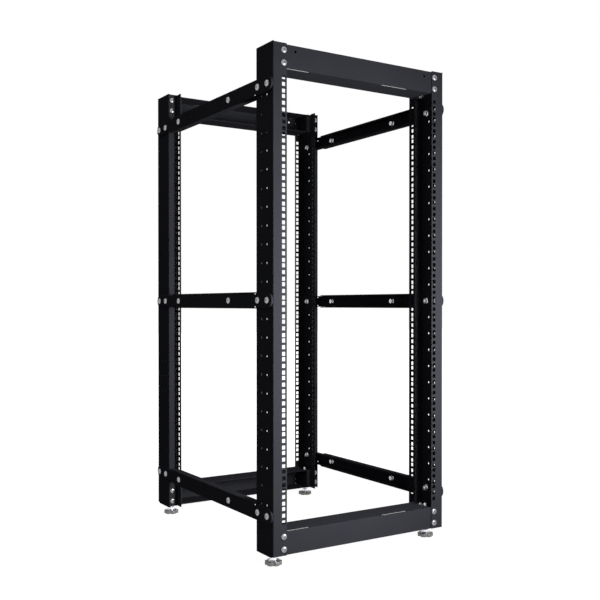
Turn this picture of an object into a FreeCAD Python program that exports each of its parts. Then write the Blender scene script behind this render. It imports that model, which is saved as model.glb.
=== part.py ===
"""Four post open frame rack, 24 units high, as a parametric FreeCAD document.

Frame: millimetres, +Z up, +X to the right of someone facing the front, +Y to the rear.
The origin is on the floor, midway between the posts.
"""
import FreeCAD, Part
import math
import os
import Sketcher

PARTS_FOLDER = "parts"
ORIGIN_POINT = (-1, 1)   # a sketch's own root point

# name, value in millimetres (or a plain count), what it is
SIZES = [
    ("rack_units", 24, "number of equipment units"),
    ("unit_pitch", 44.45, "height of one unit"),
    ("hole_pitch", 15.875, "between the three holes of one unit"),
    ("hole_side", 9.5, "side of a square mounting hole"),
    ("hole_column_spacing", 465.1, "between the left and the right hole column"),
    ("end_margin", 76.2, "from the unit range to each end of a post"),
    ("rack_depth", 692.8, "front face to rear face"),
    ("foot_height", 26.4, "floor to the lower end of a post"),
    ("bay_width", 448, "clear width between the rail flanges"),
    ("rail_flange", 38, "width of a post's holed rail flange"),
    ("flange_trim_top", 1.5, "upper end of a post to the upper ends of its flanges"),
    ("flange_trim_bottom", 3, "lower end of a post to the lower ends of its flanges"),
    ("rail_relief", 10, "depth of the notch at a post's lower outer corner"),
    ("post_sheet", 2, "sheet of the posts"),
    ("post_bend", 0.5, "inside radius of a post's bends"),
    ("post_depth", 82, "depth of a post's web"),
    ("back_flange", 28.5, "width of a post's back flange"),
    ("lip_length", 24, "length of the lip behind the back flange"),
    ("lip_hole_setback", 11, "back flange to the lip's hole column"),
    ("web_hole", 6, "diameter of a round hole in a web"),
    ("web_hole_near", 30, "rail face to the web's first hole column"),
    ("web_hole_far", 55, "rail face to the web's second hole column"),
    ("bolt_hole", 5.5, "diameter of every clearance hole for a bolt"),
    ("bar_sheet", 2, "sheet of the crossbars"),
    ("bar_bend", 0.5, "inside radius of a crossbar's bends"),
    ("bar_round", 1.2, "rounding of a crossbar's outer edges"),
    ("bar_height", 56.4, "height of a crossbar"),
    ("bar_depth", 75, "depth of a crossbar's flanges"),
    ("bar_inset", 3.2, "end of a post to the nearer edge of a crossbar"),
    ("bar_web_gap", 12, "end of a crossbar's plate to the post's web"),
    ("bar_lip_gap", 11.5, "end of a crossbar's flanges to the post's lip"),
    ("bar_bolt_edge", 18.6, "end of a post to the first crossbar bolt"),
    ("bar_bolt_pitch", 30, "between the two bolts of a crossbar's end"),
    ("tab_gap", 2, "end of a crossbar's tab to the post's web"),
    ("tab_bolt_inset", 11.7, "outer face of a post to the bolts of its back flange"),
    ("slot_length", 83.5, "length of a slot in a crossbar's flanges"),
    ("slot_width", 8, "width of such a slot"),
    ("slot_setback", 1.5, "crossbar's plate to the slot"),
    ("slot_left", -197, "centre of the left slot from the middle of the bar"),
    ("slot_right", 105, "centre of the right slot from the middle of the bar"),
    ("tie_hole_spacing", 398, "between the two tie holes of an upper crossbar"),
    ("tie_hole_drop", 14.4, "top edge of an upper crossbar to its tie holes"),
    ("tie_hole", 6.5, "diameter of a tie hole"),
    ("brace_sheet", 2.5, "sheet of the side braces"),
    ("brace_height", 40, "height of the front half of a brace"),
    ("brace_reach", 22, "depth of a brace's flanges from its outer face"),
    ("brace_nest_gap", 0.25, "play above and below the nested half"),
    ("brace_round", 2, "rounding of a brace's outer edges"),
    ("brace_post_gap", 2, "back of a post's web to a brace's flanges"),
    ("brace_rise", 512, "middle of the rack to the upper and lower braces"),
    ("front_brace_length", 570, "length of the front half of a brace"),
    ("rear_brace_length", 520, "length of the rear half of a brace"),
    ("brace_bolt_first", 19, "rack face to a brace's first bolt"),
    ("brace_bolt_second", 65, "rack face to a brace's second bolt"),
    ("joint_bolt_front", 218, "front face to the front bolt of the overlap"),
    ("joint_bolt_rear", 528, "front face to the rear bolt of the overlap"),
    ("spare_hole", 7, "diameter of a brace's spare holes"),
    ("spare_hole_end", 562, "front face to the spare hole at the overlap's end"),
    ("spare_hole_middle", 426, "front face to the spare hole in mid span"),
    ("relief_length", 8, "length of the relief slot where a brace's flange starts"),
    ("relief_width", 3, "width of that relief slot"),
    ("foot_inset_side", 24.5, "outer face of a post to the foot's axis"),
    ("foot_inset_front", 41, "rail face of a post to the foot's axis"),
    ("foot_plate_sheet", 3, "thickness of a post's foot plate"),
    ("foot_plate_rise", 3, "lower end of a post to its foot plate"),
    ("foot_plate_gap", 2, "foot plate to the edge of the bay"),
    ("stud_diameter", 10, "levelling stud"),
    ("stud_rise", 62.6, "lower end of a post to the top of its stud"),
    ("stud_socket", 5, "floor to the lower end of a stud"),
    ("thread_clearance", 0.1, "radial play round a stud"),
    ("nut_width", 17, "across the flats of the lock nut"),
    ("nut_height", 8, "height of the lock nut"),
    ("pad_diameter", 41.5, "levelling foot, across its rim"),
    ("pad_rim", 9.5, "thickness of the levelling foot's rim"),
    ("pad_hub_base", 23, "diameter of the foot's hub at the rim"),
    ("pad_hub_flare", 2.5, "height of the hub's tapered foot"),
    ("pad_hub_flats", 15, "across the flats of the hub's hexagon"),
    ("pad_hub_height", 8.5, "height of the foot's hub above the rim"),
    ("pad_flute", 12, "diameter of a flute in the foot's rim"),
    ("pad_flute_count", 6, "number of flutes round the rim"),
    ("pad_flute_bite", 3.5, "depth of a flute"),
]

doc = FreeCAD.newDocument("open_frame_rack")
sheet = doc.addObject("Spreadsheet::Sheet", "sizes")
for row, (alias, value, meaning) in enumerate(SIZES, start=1):
    sheet.set(f"A{row}", meaning)
    sheet.set(f"B{row}", str(value))
    sheet.setAlias(f"B{row}", alias)
doc.recompute()

# ---------------------------------------------------------------- derived lengths, as expressions

HALF_WIDTH = "(sizes.bay_width / 2 + sizes.rail_flange)"
HALF_DEPTH = "(sizes.rack_depth / 2)"
UNIT_RANGE = "(sizes.rack_units * sizes.unit_pitch)"
POST_LENGTH = f"({UNIT_RANGE} + 2 * sizes.end_margin)"
RACK_MIDDLE = f"(sizes.foot_height + {POST_LENGTH} / 2)"
HOLE_INSET = f"({HALF_WIDTH} - sizes.hole_column_spacing / 2)"
LIP_FACE = f"({HALF_WIDTH} - sizes.back_flange)"
FLANGE_START = "(sizes.post_depth + sizes.brace_post_gap)"
BACK_FACE = "(sizes.post_depth - sizes.post_sheet)"
NESTED_HEIGHT = "(sizes.brace_height - 2 * sizes.brace_sheet - 2 * sizes.brace_nest_gap)"


def number(expression):
    """Value of an expression on the sheet."""
    return float(sheet.evalExpression(expression))


def signed(sign, expression):
    """The expression, mirrored when sign is -1."""
    return f"{sign} * ({expression})"


def place(node, x, y, z):
    """Bind a sub-part's position to the sheet."""
    node.setExpression("Placement.Base.x", x)
    node.setExpression("Placement.Base.y", y)
    node.setExpression("Placement.Base.z", z)


# ---------------------------------------------------------------- sketches and features

def new_body(name):
    """A PartDesign body whose label names its file."""
    body = doc.addObject("PartDesign::Body", name)
    body.Label = name
    return body


def origin_feature(body, role):
    """One of the body's own planes or axes."""
    return next(item for item in body.Origin.OriginFeatures if item.Role == role)


def new_sketch(body, name, plane, offset="0"):
    """A sketch on one of the body's planes, moved along its normal by an expression."""
    sketch = body.newObject("Sketcher::SketchObject", f"{body.Name}_{name}")
    sketch.AttachmentSupport = [(origin_feature(body, plane), "")]
    sketch.MapMode = "FlatFace"
    sketch.setExpression("AttachmentOffset.Base.z", offset)
    return sketch


def fix_point(sketch, geometry, point, x, y):
    """Hold a point at two bound distances from the sketch's origin."""
    for kind, expression in (("DistanceX", x), ("DistanceY", y)):
        value = number(expression)
        index = sketch.addConstraint(
            Sketcher.Constraint(kind, *ORIGIN_POINT, geometry, point, value))
        sketch.setExpression(f"Constraints[{index}]", expression)


def add_polygon(sketch, corners):
    """A closed outline through corners given as pairs of expressions."""
    points = [FreeCAD.Vector(number(x), number(y), 0) for x, y in corners]
    first = sketch.GeometryCount
    count = len(points)
    for index in range(count):
        sketch.addGeometry(Part.LineSegment(points[index], points[(index + 1) % count]))
    for index in range(count):
        following = (index + 1) % count
        sketch.addConstraint(Sketcher.Constraint("Coincident", first + index, 2, first + following, 1))
    for index, (x, y) in enumerate(corners):
        fix_point(sketch, first + index, 1, x, y)


def add_rectangle(sketch, x_low, x_high, y_low, y_high):
    """A rectangle between four expressions."""
    add_polygon(sketch, [(x_low, y_low), (x_high, y_low), (x_high, y_high), (x_low, y_high)])


def add_circle(sketch, x, y, diameter):
    """A circle whose centre and diameter are expressions."""
    centre = FreeCAD.Vector(number(x), number(y), 0)
    index = sketch.addGeometry(Part.Circle(centre, FreeCAD.Vector(0, 0, 1), number(diameter) / 2))
    fix_point(sketch, index, 3, x, y)
    constraint = sketch.addConstraint(Sketcher.Constraint("Diameter", index, number(diameter)))
    sketch.setExpression(f"Constraints[{constraint}]", diameter)


def pad(body, sketch, name, length, reverse=False):
    """Extrude a sketch along its normal, or against it."""
    feature = body.newObject("PartDesign::Pad", f"{body.Name}_{name}")
    feature.Profile = sketch
    feature.Reversed = reverse
    feature.setExpression("Length", length)
    return feature


def pad_both_ways(body, sketch, name, length):
    """Extrude a sketch by half the length on either side of its plane."""
    feature = body.newObject("PartDesign::Pad", f"{body.Name}_{name}")
    feature.Profile = sketch
    feature.Midplane = True
    feature.setExpression("Length", length)
    return feature


def pocket(body, sketch, name, length):
    """Cut a sketch through the sheet that its plane lies in the middle of."""
    feature = body.newObject("PartDesign::Pocket", f"{body.Name}_{name}")
    feature.Profile = sketch
    feature.Midplane = True
    feature.setExpression("Length", length)
    return feature


def repeat_upward(body, feature, name, count, pitch):
    """Repeat a feature up the body's own Z axis."""
    pattern = body.newObject("PartDesign::LinearPattern", f"{body.Name}_{name}")
    pattern.Originals = [feature]
    pattern.Direction = (origin_feature(body, "Z_Axis"), [""])
    pattern.setExpression("Length", f"({count} - 1) * {pitch}")
    pattern.setExpression("Occurrences", count)
    body.Tip = pattern
    return pattern


def round_edges(body, base, name, chosen, radius):
    """Fillet the edges of base that the test chosen accepts."""
    doc.recompute()
    names = [f"Edge{index}" for index, edge in enumerate(base.Shape.Edges, start=1) if chosen(edge)]
    feature = body.newObject("PartDesign::Fillet", f"{body.Name}_{name}")
    feature.Base = (base, names)
    feature.setExpression("Radius", radius)
    return feature


def runs_along(edge, axis):
    """True for a straight edge parallel to an axis (0, 1 or 2)."""
    if not isinstance(edge.Curve, Part.Line):
        return False
    return abs(abs(edge.Curve.Direction[axis]) - 1) < 1e-6


def edge_at(edge, axis, first, second):
    """True for a straight edge along an axis through two coordinates of the other axes."""
    if not runs_along(edge, axis):
        return False
    others = [index for index in range(3) if index != axis]
    point = edge.Vertexes[0].Point
    return abs(point[others[0]] - first) < 1e-4 and abs(point[others[1]] - second) < 1e-4


# ---------------------------------------------------------------- posts

BOLT_STEPS = ("sizes.bar_bolt_edge", "(sizes.bar_bolt_edge + sizes.bar_bolt_pitch)")

def post_corners(x_sign, y_sign):
    """Outline of a post's bent sheet, from its outer corner at the rail face."""
    sheet_out = "sizes.post_sheet"
    flat = [
        ("0", "0"),
        ("sizes.rail_flange", "0"),
        ("sizes.rail_flange", sheet_out),
        (sheet_out, sheet_out),
        (sheet_out, "sizes.post_depth - sizes.post_sheet"),
        ("sizes.back_flange", "sizes.post_depth - sizes.post_sheet"),
        ("sizes.back_flange", "sizes.post_depth + sizes.lip_length"),
        ("sizes.back_flange - sizes.post_sheet", "sizes.post_depth + sizes.lip_length"),
        ("sizes.back_flange - sizes.post_sheet", "sizes.post_depth"),
        ("0", "sizes.post_depth"),
    ]
    return [(signed(x_sign, x), signed(y_sign, y)) for x, y in flat]


def make_post(name, side, end):
    """A post: side is -1 on the left and 1 on the right, end is -1 at the front and 1 at the rear."""
    x_in = -side
    y_in = -end
    body = new_body(name)
    outline = new_sketch(body, "outline", "XY_Plane")
    add_polygon(outline, post_corners(x_in, y_in))
    channel = pad(body, outline, "channel", POST_LENGTH)

    thick = number("sizes.post_sheet")
    depth = number("sizes.post_depth")
    width = number("sizes.back_flange")
    inside = [(thick, thick), (thick, depth - thick), (width - thick, depth)]
    outside = [(0, 0), (0, depth), (width, depth - thick)]

    def inner_bend(edge):
        return any(edge_at(edge, 2, x_in * x, y_in * y) for x, y in inside)

    def outer_bend(edge):
        return any(edge_at(edge, 2, x_in * x, y_in * y) for x, y in outside)

    soft = round_edges(body, channel, "inner_bends", inner_bend, "sizes.post_bend")
    round_edges(body, soft, "outer_bends", outer_bend, "sizes.post_bend + sizes.post_sheet")

    first_hole = "(sizes.end_margin + sizes.unit_pitch / 2)"
    half_side = "sizes.hole_side / 2"
    cut = "2 * sizes.post_sheet"

    rail = new_sketch(body, "rail_holes", "XZ_Plane", signed(-y_in, "sizes.post_sheet / 2"))
    lip_middle = "(sizes.back_flange - sizes.post_sheet / 2)"
    lip = new_sketch(body, "lip_holes", "YZ_Plane", signed(x_in, lip_middle))
    lip_column = "(sizes.post_depth + sizes.lip_hole_setback)"
    for step in (-1, 0, 1):
        height = f"({first_hole} + {step} * sizes.hole_pitch)"
        for sketch, column in ((rail, signed(x_in, HOLE_INSET)), (lip, signed(y_in, lip_column))):
            add_rectangle(sketch, f"{column} - {half_side}", f"{column} + {half_side}",
                          f"{height} - {half_side}", f"{height} + {half_side}")
    rail_cut = pocket(body, rail, "rail_cut", cut)
    repeat_upward(body, rail_cut, "rail_column", "sizes.rack_units", "sizes.unit_pitch")
    lip_cut = pocket(body, lip, "lip_cut", cut)
    repeat_upward(body, lip_cut, "lip_column", "sizes.rack_units", "sizes.unit_pitch")

    web_middle = signed(x_in, "sizes.post_sheet / 2")
    web = new_sketch(body, "web_holes", "YZ_Plane", web_middle)
    for column in ("sizes.web_hole_near", "sizes.web_hole_far"):
        add_circle(web, signed(y_in, column), "(sizes.end_margin + sizes.unit_pitch)", "sizes.web_hole")
    web_cut = pocket(body, web, "web_cut", cut)
    repeat_upward(body, web_cut, "web_column", "(sizes.rack_units - 1)", "sizes.unit_pitch")

    braces = new_sketch(body, "brace_holes", "YZ_Plane", web_middle)
    for column in ("sizes.brace_bolt_first", "sizes.brace_bolt_second"):
        for step in (-1, 0, 1):
            height = f"({POST_LENGTH} / 2 + {step} * sizes.brace_rise)"
            add_circle(braces, signed(y_in, column), height, "sizes.bolt_hole")
    pocket(body, braces, "brace_cut", cut)

    bars = new_sketch(body, "bar_holes", "XZ_Plane", signed(-y_in, "sizes.post_sheet / 2"))
    tabs = new_sketch(body, "tab_holes", "XZ_Plane", signed(-y_in, f"({BACK_FACE} + sizes.post_sheet / 2)"))
    for step in BOLT_STEPS:
        for height in (step, f"({POST_LENGTH} - {step})"):
            add_circle(bars, signed(x_in, HOLE_INSET), height, "sizes.bolt_hole")
            add_circle(tabs, signed(x_in, "sizes.tab_bolt_inset"), height, "sizes.bolt_hole")
    pocket(body, bars, "bar_cut", cut)
    pocket(body, tabs, "tab_cut", cut)

    bend_end = signed(x_in, "(sizes.post_sheet + sizes.post_bend)")
    rail_end = signed(x_in, "(sizes.rail_flange + sizes.post_sheet)")
    back_end = signed(x_in, "(sizes.back_flange + sizes.post_sheet)")
    top_cut = (f"{POST_LENGTH} - sizes.flange_trim_top", f"{POST_LENGTH} + sizes.flange_trim_top")
    bottom_cut = ("-sizes.flange_trim_bottom", "sizes.flange_trim_bottom")

    rail_top = new_sketch(body, "rail_top", "XZ_Plane", signed(-y_in, "sizes.post_sheet / 2"))
    add_rectangle(rail_top, *sorted((bend_end, rail_end), key=number), *top_cut)
    pocket(body, rail_top, "rail_top_cut", "sizes.post_sheet")
    notch = new_sketch(body, "rail_bottom", "XZ_Plane")
    corner = signed(-x_in, "sizes.post_sheet")
    add_rectangle(notch, *sorted((corner, rail_end), key=number), *bottom_cut)
    pocket(body, notch, "rail_bottom_cut", "2 * sizes.rail_relief")
    back = new_sketch(body, "back_ends", "XZ_Plane",
                      signed(-y_in, "(sizes.post_depth + sizes.lip_length / 2)"))
    for cut_low, cut_high in (top_cut, bottom_cut):
        add_rectangle(back, *sorted((bend_end, back_end), key=number), cut_low, cut_high)
    pocket(body, back, "back_ends_cut", "sizes.lip_length + 2 * sizes.post_sheet")

    place(body, signed(side, HALF_WIDTH), signed(end, HALF_DEPTH), "sizes.foot_height")
    return body


# ---------------------------------------------------------------- crossbars

def make_crossbar(name, end, upper):
    """A crossbar: a plate behind two rail flanges, deep flanges and an angle that closes each end."""
    y_in = -end
    z_sign = 1 if upper else -1
    body = new_body(name)
    plate_half = f"({HALF_WIDTH} - sizes.post_sheet - sizes.bar_web_gap)"
    flange_half = f"({LIP_FACE} - sizes.bar_lip_gap)"
    half_height = "sizes.bar_height / 2"

    plate = new_sketch(body, "plate", "XZ_Plane")
    add_rectangle(plate, f"-{plate_half}", plate_half, f"-{half_height}", half_height)
    pad(body, plate, "plate_pad", "sizes.bar_sheet", reverse=y_in > 0)

    flanges = new_sketch(body, "flanges", "XZ_Plane")
    add_rectangle(flanges, f"-{flange_half}", flange_half, f"{half_height} - sizes.bar_sheet", half_height)
    add_rectangle(flanges, f"-{flange_half}", flange_half, f"-{half_height}",
                  f"-{half_height} + sizes.bar_sheet")
    channel = pad(body, flanges, "flange_pad", "sizes.bar_depth", reverse=y_in > 0)

    thick = number("sizes.bar_sheet")
    top = number(half_height)

    def inner_bend(edge):
        return any(edge_at(edge, 0, y_in * thick, sign * (top - thick)) for sign in (-1, 1))

    def outer_bend(edge):
        return any(edge_at(edge, 0, 0, sign * top) for sign in (-1, 1))

    soft = round_edges(body, channel, "inner_bends", inner_bend, "sizes.bar_bend")
    round_edges(body, soft, "outer_bends", outer_bend, "sizes.bar_round")

    back = f"({BACK_FACE} - sizes.post_sheet)"
    tab_end = f"({HALF_WIDTH} - sizes.post_sheet - sizes.tab_gap)"
    angle = [
        (f"({flange_half} - sizes.bar_sheet)", "sizes.bar_sheet"),
        (flange_half, "sizes.bar_sheet"),
        (flange_half, f"({back} - sizes.bar_sheet)"),
        (tab_end, f"({back} - sizes.bar_sheet)"),
        (tab_end, back),
        (f"({flange_half} - sizes.bar_sheet)", back),
    ]
    angles = new_sketch(body, "end_angles", "XY_Plane")
    for side in (-1, 1):
        add_polygon(angles, [(signed(side, x), signed(y_in, y)) for x, y in angle])
    pad_both_ways(body, angles, "end_angle_pad", "sizes.bar_height")

    slots = new_sketch(body, "slots", "XY_Plane")
    near = "(sizes.bar_sheet + sizes.slot_setback)"
    for centre in ("sizes.slot_left", "sizes.slot_right"):
        middle = signed(-end, centre)
        edges = sorted((signed(y_in, near), signed(y_in, f"{near} + sizes.slot_width")), key=number)
        add_rectangle(slots, f"{middle} - sizes.slot_length / 2", f"{middle} + sizes.slot_length / 2",
                      edges[0], edges[1])
    pocket(body, slots, "slot_cut", "sizes.bar_height + 2 * sizes.bar_sheet")

    bolts = new_sketch(body, "bolt_holes", "XZ_Plane", signed(-y_in, "sizes.bar_sheet / 2"))
    tabs = new_sketch(body, "tab_holes", "XZ_Plane", signed(-y_in, f"({back} - sizes.bar_sheet / 2)"))
    column = "sizes.hole_column_spacing / 2"
    tab_column = f"({HALF_WIDTH} - sizes.tab_bolt_inset)"
    outer_edge = f"({half_height} + sizes.bar_inset)"
    for side in (-1, 1):
        for step in BOLT_STEPS:
            height = signed(z_sign, f"{outer_edge} - {step}")
            add_circle(bolts, signed(side, column), height, "sizes.bolt_hole")
            add_circle(tabs, signed(side, tab_column), height, "sizes.bolt_hole")
        if upper:
            add_circle(bolts, signed(side, "sizes.tie_hole_spacing / 2"),
                       f"{half_height} - sizes.tie_hole_drop", "sizes.tie_hole")
    pocket(body, bolts, "bolt_cut", "2 * sizes.bar_sheet")
    pocket(body, tabs, "tab_cut", "2 * sizes.bar_sheet")

    reach = f"({POST_LENGTH} / 2 - sizes.bar_inset - {half_height})"
    place(body, "0", signed(end, f"{HALF_DEPTH} - sizes.post_sheet"),
          f"{RACK_MIDDLE} + {signed(z_sign, reach)}")
    return body


# ---------------------------------------------------------------- side braces

def add_tongue(sketch, y_sign, length, height, inset="0"):
    """Outline of a strip whose end at the post is round; inset shrinks it evenly."""
    radius = f"({height} / 2 - {inset})"
    centre = f"({height} / 2)"
    y_centre = signed(y_sign, centre)
    y_end = signed(y_sign, length)
    up = FreeCAD.Vector(0, 0, 1)
    middle = FreeCAD.Vector(number(y_centre), 0, 0)
    size = number(radius)
    quarter = math.pi / 2
    start = quarter if y_sign > 0 else -quarter
    arc = sketch.addGeometry(Part.ArcOfCircle(Part.Circle(middle, up, size), start, start + 2 * quarter))
    fix_point(sketch, arc, 3, y_centre, "0")
    bound = sketch.addConstraint(Sketcher.Constraint("Radius", arc, size))
    sketch.setExpression(f"Constraints[{bound}]", radius)
    first, last = (1, 2) if y_sign > 0 else (2, 1)
    top = FreeCAD.Vector(number(y_centre), size, 0)
    bottom = FreeCAD.Vector(number(y_centre), -size, 0)
    far_top = FreeCAD.Vector(number(y_end), size, 0)
    far_bottom = FreeCAD.Vector(number(y_end), -size, 0)
    upper = sketch.addGeometry(Part.LineSegment(top, far_top))
    closing = sketch.addGeometry(Part.LineSegment(far_top, far_bottom))
    lower = sketch.addGeometry(Part.LineSegment(far_bottom, bottom))
    sketch.addConstraint(Sketcher.Constraint("Coincident", upper, 1, arc, first))
    sketch.addConstraint(Sketcher.Constraint("Coincident", upper, 2, closing, 1))
    sketch.addConstraint(Sketcher.Constraint("Coincident", closing, 2, lower, 1))
    sketch.addConstraint(Sketcher.Constraint("Coincident", lower, 2, arc, last))
    sketch.addConstraint(Sketcher.Constraint("Horizontal", upper))
    sketch.addConstraint(Sketcher.Constraint("Horizontal", lower))
    sketch.addConstraint(Sketcher.Constraint("Vertical", closing))
    for line, point, station in ((upper, 1, y_centre), (lower, 2, y_centre), (closing, 1, y_end)):
        bound = sketch.addConstraint(
            Sketcher.Constraint("DistanceX", *ORIGIN_POINT, line, point, number(station)))
        sketch.setExpression(f"Constraints[{bound}]", station)


def make_brace(name, side, end, level):
    """One half of a telescoping side brace; the front half (end -1) lies over the rear one."""
    y_in = -end
    front = end < 0
    height = "sizes.brace_height" if front else NESTED_HEIGHT
    length = "sizes.front_brace_length" if front else "sizes.rear_brace_length"
    reach = "sizes.brace_reach" if front else "(sizes.brace_reach - sizes.brace_sheet)"
    body = new_body(name)

    plate = new_sketch(body, "plate", "YZ_Plane")
    add_tongue(plate, y_in, length, height)
    strip = pad(body, plate, "strip", "sizes.brace_sheet", reverse=side > 0)

    flanges = new_sketch(body, "flanges", "YZ_Plane")
    y_edges = sorted((signed(y_in, FLANGE_START), signed(y_in, length)), key=number)
    add_rectangle(flanges, y_edges[0], y_edges[1], f"{height} / 2 - sizes.brace_sheet", f"{height} / 2")
    add_rectangle(flanges, y_edges[0], y_edges[1], f"-{height} / 2", f"-{height} / 2 + sizes.brace_sheet")
    shape = pad(body, flanges, "flange_pad", reach, reverse=side > 0)

    if front:
        rim = new_sketch(body, "rim", "YZ_Plane", signed(-side, "sizes.brace_sheet"))
        add_tongue(rim, y_in, FLANGE_START, height)
        pad(body, rim, "rim_pad", "sizes.brace_sheet", reverse=side > 0)
        hollow = new_sketch(body, "hollow", "YZ_Plane", signed(-side, "1.5 * sizes.brace_sheet"))
        add_tongue(hollow, y_in, f"({FLANGE_START} + sizes.brace_sheet)", height, "sizes.brace_sheet")
        shape = pocket(body, hollow, "hollow_cut", "sizes.brace_sheet")

    top = number(f"{height} / 2")

    def outer_edge(edge):
        if any(abs(vertex.X) > 1e-4 for vertex in edge.Vertexes):
            return False
        if not isinstance(edge.Curve, Part.Line):
            return abs(edge.BoundBox.ZLength - 2 * top) < 1e-3
        return runs_along(edge, 1) and abs(abs(edge.Vertexes[0].Z) - top) < 1e-4

    round_edges(body, shape, "outer_edges", outer_edge, "sizes.brace_round")

    holes = new_sketch(body, "holes", "YZ_Plane", signed(-side, "sizes.brace_sheet / 2"))
    for column in ("sizes.brace_bolt_first", "sizes.brace_bolt_second"):
        add_circle(holes, signed(y_in, column), "0", "sizes.bolt_hole")
    for column in ("sizes.joint_bolt_front", "sizes.joint_bolt_rear"):
        station = column if front else f"(sizes.rack_depth - {column})"
        add_circle(holes, signed(y_in, station), "0", "sizes.bolt_hole")
    spare = "sizes.spare_hole_end" if front else "(sizes.rack_depth - sizes.spare_hole_end)"
    add_circle(holes, signed(y_in, spare), "0", "sizes.spare_hole")
    if front:
        add_circle(holes, signed(y_in, "sizes.spare_hole_middle"), "0", "sizes.spare_hole")
    relief_top = f"({height} / 2 - sizes.brace_sheet)"
    relief = sorted((signed(y_in, FLANGE_START), signed(y_in, f"{FLANGE_START} - sizes.relief_length")),
                    key=number)
    add_rectangle(holes, relief[0], relief[1], f"{relief_top} - sizes.relief_width", relief_top)
    add_rectangle(holes, relief[0], relief[1], f"-{relief_top}", f"-{relief_top} + sizes.relief_width")
    pocket(body, holes, "hole_cut", "2 * sizes.brace_sheet")

    outer = f"{HALF_WIDTH} + sizes.brace_sheet"
    if front:
        outer = f"{outer} + sizes.brace_sheet"
    place(body, signed(side, outer), signed(end, HALF_DEPTH),
          f"{RACK_MIDDLE} + {level} * sizes.brace_rise")
    return body


# ---------------------------------------------------------------- levelling feet

FOOT_X = f"({HALF_WIDTH} - sizes.foot_inset_side)"
FOOT_Y = f"({HALF_DEPTH} - sizes.foot_inset_front)"
FOOT_PLATE_Z = "(sizes.foot_height + sizes.foot_plate_rise)"


def make_foot_plate(name, side, end):
    """Plate across the lower end of a post, which the levelling stud stands in."""
    x_in = -side
    y_in = -end
    body = new_body(name)
    outline = new_sketch(body, "outline", "XY_Plane")
    x_far = "(sizes.rail_flange - sizes.foot_plate_gap)"
    x_edges = sorted((signed(x_in, "sizes.post_sheet"), signed(x_in, x_far)), key=number)
    y_edges = sorted((signed(y_in, "(sizes.post_sheet + sizes.bar_sheet)"),
                      signed(y_in, f"({BACK_FACE} - sizes.bar_sheet)")), key=number)
    add_rectangle(outline, x_edges[0], x_edges[1], y_edges[0], y_edges[1])
    add_circle(outline, signed(x_in, "sizes.foot_inset_side"), signed(y_in, "sizes.foot_inset_front"),
               "(sizes.stud_diameter + 2 * sizes.thread_clearance)")
    pad(body, outline, "slab", "sizes.foot_plate_sheet")
    place(body, signed(side, HALF_WIDTH), signed(end, HALF_DEPTH), FOOT_PLATE_Z)
    return body


def make_stud(name, side, end):
    """Threaded levelling stud."""
    stud = doc.addObject("Part::Cylinder", name)
    stud.Label = name
    stud.setExpression("Radius", "sizes.stud_diameter / 2")
    stud.setExpression("Height", "sizes.foot_height + sizes.stud_rise - sizes.stud_socket")
    place(stud, signed(side, FOOT_X), signed(end, FOOT_Y), "sizes.stud_socket")
    return stud


def make_lock_nut(name, side, end):
    """Hexagonal nut that the foot plate bears on."""
    blank = doc.addObject("Part::Prism", f"{name}_blank")
    blank.Polygon = 6
    blank.setExpression("Circumradius", "sizes.nut_width / sqrt(3)")
    blank.setExpression("Height", "sizes.nut_height")
    bore = doc.addObject("Part::Cylinder", f"{name}_bore")
    bore.setExpression("Radius", "sizes.stud_diameter / 2 + sizes.thread_clearance")
    bore.setExpression("Height", "sizes.nut_height")
    nut = doc.addObject("Part::Cut", name)
    nut.Label = name
    nut.Base = blank
    nut.Tool = bore
    place(nut, signed(side, FOOT_X), signed(end, FOOT_Y), f"{FOOT_PLATE_Z} - sizes.nut_height")
    return nut


def make_pad(name, side, end):
    """Levelling foot: a fluted rim and a flared hexagonal hub that takes the stud."""
    body = new_body(name)
    profile = new_sketch(body, "profile", "XZ_Plane")
    socket = "(sizes.stud_diameter / 2 + sizes.thread_clearance)"
    flare_top = "(sizes.pad_rim + sizes.pad_hub_flare)"
    add_polygon(profile, [
        ("0", "0"),
        ("sizes.pad_diameter / 2", "0"),
        ("sizes.pad_diameter / 2", "sizes.pad_rim"),
        ("sizes.pad_hub_base / 2", "sizes.pad_rim"),
        ("sizes.pad_hub_flats / 2", flare_top),
        (socket, flare_top),
        (socket, "sizes.stud_socket"),
        ("0", "sizes.stud_socket"),
    ])
    turned = body.newObject("PartDesign::Revolution", f"{name}_turned")
    turned.Profile = profile
    turned.ReferenceAxis = (profile, ["V_Axis"])
    turned.Angle = 360

    hub = new_sketch(body, "hub", "XY_Plane", flare_top)
    corner = "sizes.pad_hub_flats / sqrt(3)"
    corners = [(math.cos(sixth * math.pi / 3), math.sin(sixth * math.pi / 3)) for sixth in range(6)]
    add_polygon(hub, [(f"{cosine:.9f} * {corner}", f"{sine:.9f} * {corner}") for cosine, sine in corners])
    add_circle(hub, "0", "0", f"2 * {socket}")
    pad(body, hub, "hub_pad", "sizes.pad_hub_height - sizes.pad_hub_flare")

    flute = new_sketch(body, "flute", "XY_Plane", "sizes.pad_rim / 2")
    add_circle(flute, "(sizes.pad_diameter + sizes.pad_flute) / 2 - sizes.pad_flute_bite", "0",
               "sizes.pad_flute")
    doc.recompute()
    bite = pocket(body, flute, "flute_cut", "sizes.pad_rim")
    ring = body.newObject("PartDesign::PolarPattern", f"{name}_flutes")
    ring.Originals = [bite]
    ring.Axis = (origin_feature(body, "Z_Axis"), [""])
    ring.Angle = 360
    ring.setExpression("Occurrences", "sizes.pad_flute_count")
    body.Tip = ring
    place(body, signed(side, FOOT_X), signed(end, FOOT_Y), "0")
    return body


# ---------------------------------------------------------------- the rack

SIDES = (("left", -1), ("right", 1))
ENDS = (("front", -1), ("rear", 1))
LEVELS = (("lower", -1), ("middle", 0), ("upper", 1))

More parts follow.
